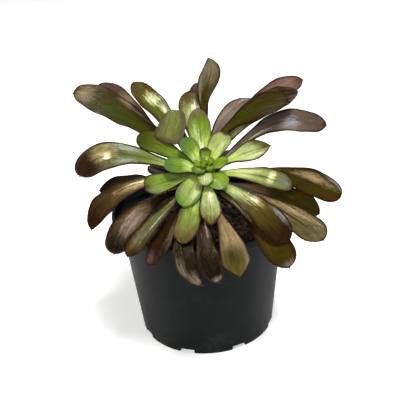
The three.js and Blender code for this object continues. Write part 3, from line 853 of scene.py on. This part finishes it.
# Pot
def rounded(corners, steps=6):
    """An outline whose corners (x, z, radius) are turned into arcs where they have a radius."""
    outline = []
    for i, (x, z, radius) in enumerate(corners):
        here = np.array([x, z], float)
        if radius == 0:
            outline.append(here)
            continue
        before = np.array(corners[i - 1][:2]) - here
        after = np.array(corners[(i + 1) % len(corners)][:2]) - here
        before /= np.linalg.norm(before)
        after /= np.linalg.norm(after)
        opening = math.acos(np.clip(before @ after, -1, 1))
        run = radius / math.tan(opening / 2)
        middle = (before + after) / np.linalg.norm(before + after)
        centre = here + middle * radius / math.sin(opening / 2)
        first = here + before * run - centre
        last = here + after * run - centre
        turn = math.acos(np.clip(first @ last / radius ** 2, -1, 1))
        for k in range(steps + 1):
            share = k / steps
            arc = math.sin((1 - share) * turn) * first + math.sin(share * turn) * last
            outline.append(centre + arc / math.sin(turn))
    return outline


def pot_outline():
    """Half of the pot's section, from the middle of its foot out, up, over and back inside."""
    lip_foot = POT_HEIGHT - LIP_HEIGHT
    inner_top = LIP_RADIUS - RIM_WIDTH
    return rounded([
        (0, 0, 0),
        (BASE_RADIUS - 0.4, 0, 1.2),
        (WALL_TOP_RADIUS, lip_foot - 0.2, 0.7),
        (LIP_RADIUS - 0.1, lip_foot + 0.1, 0.9),
        (LIP_RADIUS, POT_HEIGHT, 0.85),
        (inner_top, POT_HEIGHT, 0.7),
        (inner_top - 0.8, lip_foot + 0.6, 0.5),
        (WALL_TOP_RADIUS - WALL, lip_foot - 1, 0.8),
        (BASE_RADIUS - WALL, FLOOR, 1.2),
        (0, FLOOR, 0),
    ])


def wall_stations(outline, spacing=2.5):
    """Adds points on the outline's long runs, so that their faces stay short."""
    filled = [outline[0]]
    for point in outline[1:]:
        start = filled[-1]
        parts = int(np.linalg.norm(point - start) / spacing) + 1
        filled.extend(start + (point - start) * (k / parts) for k in range(1, parts))
        filled.append(point)
    return filled


def at_each_drain(points, faces):
    """A cutter repeated at every drain."""
    shape = Shape()
    for i in range(DRAIN_COUNT):
        turn = turn_z(math.radians(DRAIN_FIRST + 360 * i / DRAIN_COUNT))
        shape.add(points @ turn.T, faces)
    return shape


def channel_cutter():
    """The channels under the floor, which open at the foot."""
    corners = [(x, y, z) for x in (DRAIN_INNER_END, BASE_RADIUS + 2)
               for y in (-DRAIN_WIDTH / 2, DRAIN_WIDTH / 2) for z in (-DRAIN_HEIGHT, DRAIN_HEIGHT)]
    faces = [(0, 1, 3, 2), (4, 6, 7, 5), (0, 4, 5, 1), (2, 3, 7, 6), (0, 2, 6, 4), (1, 5, 7, 3)]
    return at_each_drain(np.array(corners, float), faces)


def hole_cutter():
    """The holes that drain into the channels."""
    angles = full_turn(DRAIN_HOLE_SIDES)
    low, high = -2 * FLOOR, 2 * FLOOR
    rings = [circle(angles, DRAIN_HOLE_RADIUS, z) for z in (low, high)]
    points = np.vstack([*rings, (0, 0, low), (0, 0, high)]) + (DRAIN_HOLE_PLACE, 0, 0)
    return at_each_drain(points, ring_faces(2, DRAIN_HOLE_SIDES))


def cut_away(shape, cutters):
    """The shape's mesh with every cutter taken out of it."""
    body = add_object("cut", shape.mesh("pot_turned"))
    made = [add_object(f"cutter_{i}", cutter.mesh(f"cutter_{i}"))
            for i, cutter in enumerate(cutters)]
    for cutter in made:
        modifier = body.modifiers.new("cut", "BOOLEAN")
        modifier.operation = "DIFFERENCE"
        modifier.solver = "EXACT"
        modifier.object = cutter
    bpy.context.view_layer.update()
    graph = bpy.context.evaluated_depsgraph_get()
    result = bpy.data.meshes.new_from_object(body.evaluated_get(graph))
    for used in [body, *made]:
        bpy.data.objects.remove(used)
    return result


def make_pot(material):
    """The nursery pot, turned in one outline, with drain channels that open at its foot."""
    outline = wall_stations(pot_outline())
    angles = full_turn(POT_SIDES)
    rings = [circle(angles, r, z) for r, z in outline[1:-1]]
    turned = Shape()
    turned.add(np.vstack([*rings, (0, 0, 0), (0, 0, FLOOR)]), ring_faces(len(rings), POT_SIDES))
    cut = cut_away(turned, [channel_cutter(), hole_cutter()])
    cut.shade_smooth()
    cut.set_sharp_from_angle(angle=math.radians(SHARP_ANGLE))
    return dress("nursery_pot", cut, [material], ["pot"])


# Finishes
class Nodes:
    """Short calls for building one material's nodes."""

    def __init__(self, name):
        self.material = bpy.data.materials.new(name)
        self.material.use_nodes = True
        self.tree = self.material.node_tree
        self.shader = self.tree.nodes["Principled BSDF"]

    def feed(self, socket, value):
        if isinstance(value, bpy.types.NodeSocket):
            self.tree.links.new(value, socket)
        else:
            socket.default_value = value

    def add(self, kind, *values, **settings):
        node = self.tree.nodes.new(kind)
        for key, value in settings.items():
            setattr(node, key, value)
        for socket, value in zip(node.inputs, values):
            self.feed(socket, value)
        return node

    def shade(self, **values):
        """Sets the shader's sockets, named with _ for a space."""
        for name, value in values.items():
            self.feed(self.shader.inputs[name.replace("_", " ")], value)

    def fact(self, name, output="Fac"):
        return self.add("ShaderNodeAttribute", attribute_name=name).outputs[output]

    def place(self):
        return self.add("ShaderNodeTexCoord").outputs["Object"]

    def math(self, operation, *values):
        return self.add("ShaderNodeMath", *values, operation=operation).outputs[0]

    def stretch(self, vector, x, y, z):
        node = self.add("ShaderNodeVectorMath", vector, (x, y, z), operation="MULTIPLY")
        return node.outputs[0]

    def plus(self, first, second):
        return self.math("ADD", first, second)

    def times(self, first, second):
        return self.math("MULTIPLY", first, second)

    def noise(self, vector, scale=1.0, **settings):
        """Clouds from 0 to 1; settings may give the detail, roughness or distortion."""
        node = self.add("ShaderNodeTexNoise")
        for name, value in {"vector": vector, "scale": scale, **settings}.items():
            self.feed(node.inputs[name.capitalize()], value)
        return node.outputs["Fac"]

    def fade(self, value, start, end, low=0.0, high=1.0):
        """value from start to end turned into low to high, with soft ends."""
        node = self.add("ShaderNodeMapRange", value, start, end, low, high,
                        interpolation_type="SMOOTHSTEP")
        return node.outputs["Result"]

    def mix(self, share, first, second, blend="MIX"):
        node = self.add("ShaderNodeMix", data_type="RGBA", blend_type=blend)
        values = {0: share, 6: first, 7: second}
        for index, value in values.items():
            if isinstance(value, tuple):
                value = (*value, 1)
            self.feed(node.inputs[index], value)
        return node.outputs[2]

    def ramp(self, share, *stops):
        """A colour by the share, through stops of (place, colour)."""
        node = self.add("ShaderNodeValToRGB", share)
        elements = node.color_ramp.elements
        for element, (place, shade) in zip(elements, (stops[0], stops[-1])):
            element.position = place
            element.color = (*shade, 1)
        for place, shade in stops[1:-1]:
            elements.new(place).color = (*shade, 1)
        return node.outputs["Color"]

    def bump(self, height, depth, strength):
        """Relief of that depth in metres."""
        node = self.add("ShaderNodeBump")
        self.feed(node.inputs["Height"], height)
        node.inputs["Distance"].default_value = depth
        node.inputs["Strength"].default_value = strength
        self.shade(Normal=node.outputs["Normal"])


def leaf_grain(nodes):
    """Broad clouds and fine streaks that follow the leaf, and the mottle of streaks and flecks."""
    place = nodes.fact("leaf_place", "Vector")
    cloud = nodes.noise(nodes.stretch(place, 0.10, 0.16, 1), detail=3)
    streak = nodes.noise(nodes.stretch(place, 0.07, 1.1, 1), detail=4, roughness=0.6)
    fleck = nodes.noise(nodes.stretch(place, 0.45, 1.3, 1), detail=4, roughness=0.65,
                        distortion=0.5)
    return cloud, streak, nodes.plus(nodes.times(streak, 0.5), nodes.times(fleck, 0.5))


def flushed(nodes, skin, look, along, inward, grain):
    """The margin's own colour, which reaches in by streaks and is weaker near the root."""
    spread = look.spread
    depth = nodes.plus(inward, nodes.math("MULTIPLY_ADD", grain, -spread * 1.2, spread * 1.2))
    share = nodes.times(nodes.fade(depth, 0.2, spread, 0.9, 0.0),
                        nodes.fade(along, 0.2, 0.6, 0.35, 1.0))
    return nodes.mix(share, skin, colour(look.flush))


def sheen_or_mark(nodes, skin, at, grain, spot):
    """A patch of colour on the upper face, ragged along the leaf's streaks. Pale patches are painted
    highlights and painted light; dark ones darken tips, margins and the midrib, and one is painted
    shade.
    """
    shade, *percent = spot.split()
    along, side, long, wide, strength = (float(value) / 100 for value in percent)
    off = nodes.add("ShaderNodeVectorMath", at, (along, side, 0), operation="SUBTRACT").outputs[0]
    scaled = nodes.stretch(off, 1 / long, 1 / wide, 1)
    far = nodes.add("ShaderNodeVectorMath", scaled, operation="LENGTH").outputs["Value"]
    ragged = nodes.math("MULTIPLY_ADD", grain, -3.0, 1.5)
    share = nodes.fade(nodes.plus(far, ragged), 0.0, 1.4, strength, 0.0)
    return nodes.mix(share, skin, colour(shade))


def rimmed(nodes, skin, look, inward, cloud):
    """A thin line along the very margin."""
    rim, reach, strength = look.rim or (YOUNG_RIM if look.slot == "lime" else GROWN_RIM)
    uneven = nodes.plus(inward, nodes.times(cloud, 0.3))
    return nodes.mix(nodes.fade(uneven, 0.4 * reach, reach, strength, 0.0), skin, colour(rim))


def leaf_skin(name, look, spots):
    """Waxy leaf skin: it changes from root to tip, flushes at the margin and has fine streaks."""
    nodes = Nodes(f"{name}_skin")
    along, across = nodes.fact("leaf_along"), nodes.fact("leaf_side")
    inward = nodes.fact("leaf_inward")
    cloud, streak, mottle = leaf_grain(nodes)
    root, middle, end = (colour(part) for part in look.skin.split())
    wander = nodes.math("MULTIPLY_ADD", cloud, 0.3, -0.15)
    drawn_out = nodes.math("MULTIPLY_ADD", streak, 0.3, -0.15)
    share = nodes.plus(nodes.plus(along, wander), drawn_out)
    skin = nodes.ramp(share, (0.1, root), (0.3, root), (0.55, middle), (0.66, middle), (0.9, end))
    skin = flushed(nodes, skin, look, along, inward, nodes.plus(streak, cloud))
    at = nodes.add("ShaderNodeCombineXYZ", along, across).outputs[0]
    # Patches of painted highlight, sheen and light, and darker marks
    for spot in spots:
        skin = sheen_or_mark(nodes, skin, at, mottle, spot)
    rib = nodes.times(nodes.fade(nodes.math("ABSOLUTE", across), 0.02, 0.09, 0.4, 0.0),
                      nodes.fade(along, 0.55, 0.95, 1.0, 0.0))
    skin = nodes.mix(rib, skin, colour("umber"))
    under = colour(look.under)
    beneath = nodes.ramp(share, (0.1, root), (0.45, under), (0.95, under))
    skin = nodes.mix(nodes.fade(nodes.fact("leaf_face"), -0.25, 0.15), beneath, skin)
    grey = nodes.ramp(mottle, (0.34, (0.12, 0.12, 0.12)), (0.66, (0.88, 0.88, 0.88)))
    skin = nodes.mix(0.65, skin, grey, "OVERLAY")
    skin = rimmed(nodes, skin, look, inward, cloud)
    rough = nodes.fade(mottle, 0.35, 0.65, 0.38, 0.2)
    nodes.shade(Base_Color=skin, Roughness=rough, IOR=1.4, Specular_IOR_Level=look.shine,
                Specular_Tint=(1.0, 0.86, 0.62, 1), Subsurface_Weight=0.06,
                Subsurface_Scale=0.002)
    nodes.bump(mottle, 0.0005, 0.8)
    return nodes.material


def bark_skin():
    """Grey-brown bark, paler on the lips of the leaf scars and dark in their hollows."""
    nodes = Nodes("stem_bark")
    place = nodes.place()
    grain = nodes.noise(nodes.stretch(place, 900, 900, 250), detail=5, roughness=0.65)
    share = nodes.plus(nodes.times(nodes.fact("scar"), 0.35), grain)
    skin = nodes.ramp(share, (0.25, linear("2c2018")), (0.5, linear("6d553c")),
                      (0.8, linear("a08a68")))
    nodes.shade(Base_Color=skin, Roughness=nodes.fade(grain, 0.3, 0.7, 0.7, 0.95))
    nodes.bump(grain, 0.0006, 0.8)
    return nodes.material


def soil_skin(name, dark, middle, light, shine):
    """Crumbly potting mix or one kind of bit in it."""
    nodes = Nodes(name)
    place = nodes.place()
    coarse = nodes.noise(place, 450, detail=4, roughness=0.7)
    fine = nodes.noise(place, 2200, detail=3, roughness=0.6)
    share = nodes.plus(nodes.times(coarse, 0.7), nodes.times(fine, 0.35))
    skin = nodes.ramp(share, (0.38, linear(dark)), (0.55, linear(middle)), (0.72, linear(light)))
    nodes.shade(Base_Color=skin, Roughness=nodes.fade(fine, 0.3, 0.7, shine, 0.98))
    nodes.bump(share, 0.0008, 0.9)
    return nodes.material


def plastic_skin():
    """Black moulded plastic with a satin grain, faint flow marks and paler, rougher patches low down.
    """
    nodes = Nodes("pot_plastic")
    place = nodes.place()
    flow = nodes.noise(nodes.stretch(place, 60, 60, 9), detail=3)
    grain = nodes.noise(place, 2600, detail=2)
    low_cloud = nodes.noise(place, 90, detail=5, roughness=0.7)
    height = nodes.add("ShaderNodeSeparateXYZ", place).outputs["Z"]
    low = nodes.fade(height, 0.0, 0.03, 1.0, 0.25)
    skin = nodes.ramp(flow, (0.3, linear("040606")), (0.7, linear("080c0c")))
    # Paler, rougher patches, strongest near the foot
    pale_low_patch = nodes.times(nodes.fade(low_cloud, 0.5, 0.75, 0.0, 0.35), low)
    skin = nodes.mix(pale_low_patch, skin, linear("3a3a36"))
    rough = nodes.plus(nodes.fade(flow, 0.3, 0.7, 0.44, 0.56), nodes.times(pale_low_patch, 0.3))
    nodes.shade(Base_Color=skin, Roughness=rough, Specular_IOR_Level=0.09,
                Specular_Tint=(0.9, 1.0, 0.98, 1))
    nodes.bump(nodes.plus(nodes.times(grain, 0.25), flow), 0.0002, 0.25)
    return nodes.material


# Stage
def make_floor():
    """A plain pale floor that fills the view."""
    reach = 3.0
    mesh = bpy.data.meshes.new("floor")
    corners = [(-reach, -reach, 0), (reach, -reach, 0), (reach, reach, 0), (-reach, reach, 0)]
    mesh.from_pydata(corners, [], [(0, 1, 2, 3)])
    floor = add_object("floor", mesh)
    nodes = Nodes("floor_paper")
    cloud = nodes.noise(nodes.place(), 3, detail=2)
    skin = nodes.ramp(cloud, (0.3, (0.86, 0.86, 0.85)), (0.7, (0.9, 0.9, 0.89)))
    nodes.shade(Base_Color=skin, Roughness=0.8, Specular_IOR_Level=0.2,
                Emission_Color=(1, 1, 1, 1), Emission_Strength=0.35)
    mesh.materials.append(nodes.material)


def area_light(name, place, size, power, tint, glint=True, spread=True):
    """A soft panel of light.

    place and size are in metres. A panel without glint shows in no gloss, and one
    without spread shows in gloss alone.
    """
    data = bpy.data.lights.new(name, "AREA")
    data.shape = "DISK"
    data.size = size
    data.energy = power
    data.color = tint
    light = add_object(name, data)
    light.location = place
    light.visible_glossy = glint
    light.visible_diffuse = spread
    light.rotation_euler = (Vector(LIGHT_AIM) - Vector(place)).to_track_quat("-Z", "Y").to_euler()


def make_lights():
    """Soft studio light: a high key and a low fill from the front, and panels for glints."""
    area_light("key", (0.5, -0.8, 2.4), 0.9, 82, (1.0, 0.98, 0.95), glint=False)
    area_light("fill", (-0.5, -1.5, 1.0), 0.9, 22, (1.0, 0.98, 0.95), glint=False)
    area_light("back", (-0.1, 1.2, 1.35), 0.4, 10, (1.0, 0.95, 0.86), spread=False)
    area_light("top", (-0.35, 0.15, 1.5), 0.25, 6, (1.0, 0.97, 0.9), spread=False)
    area_light("side", (1.6, -0.2, 0.5), 0.8, 22, (0.72, 0.95, 1.0), spread=False)
    world = bpy.data.worlds.new("studio")
    world.use_nodes = True
    background = world.node_tree.nodes["Background"]
    background.inputs["Color"].default_value = (0.95, 0.97, 1.0, 1)
    background.inputs["Strength"].default_value = 0.2
    bpy.context.scene.world = world


def make_camera():
    """The photograph's point of view."""
    data = bpy.data.cameras.new("camera")
    data.sensor_width = SENSOR
    data.lens = SENSOR * FOCAL_PIXELS / FRAME_PIXELS
    data.clip_start = 0.01
    data.clip_end = 20
    camera = add_object("camera", data)
    pitch = Matrix.Rotation(math.radians(90 - CAMERA_PITCH), 4, "X")
    roll = Matrix.Rotation(math.radians(CAMERA_ROLL), 4, "Z")
    place = Matrix.Translation(Vector(CAMERA_PLACE) * METRES)
    camera.matrix_world = place @ pitch @ roll
    bpy.context.scene.camera = camera


make_camera()
make_floor()
make_lights()
make_pot(plastic_skin())
make_soil([
    soil_skin("mix_dark", "120d0a", "32261d", "645242", 0.75),
    soil_skin("mix_bark", "1e1510", "5a402d", "8f7355", 0.6),
    soil_skin("mix_grit", "5c5144", "a09280", "cfc4b0", 0.55),
])
make_stem(bark_skin())
make_heart()
for leaf in LEAVES[HEART_LEAVES:]:
    make_leaf(leaf)
bpy.context.scene.view_settings.view_transform = "Standard"
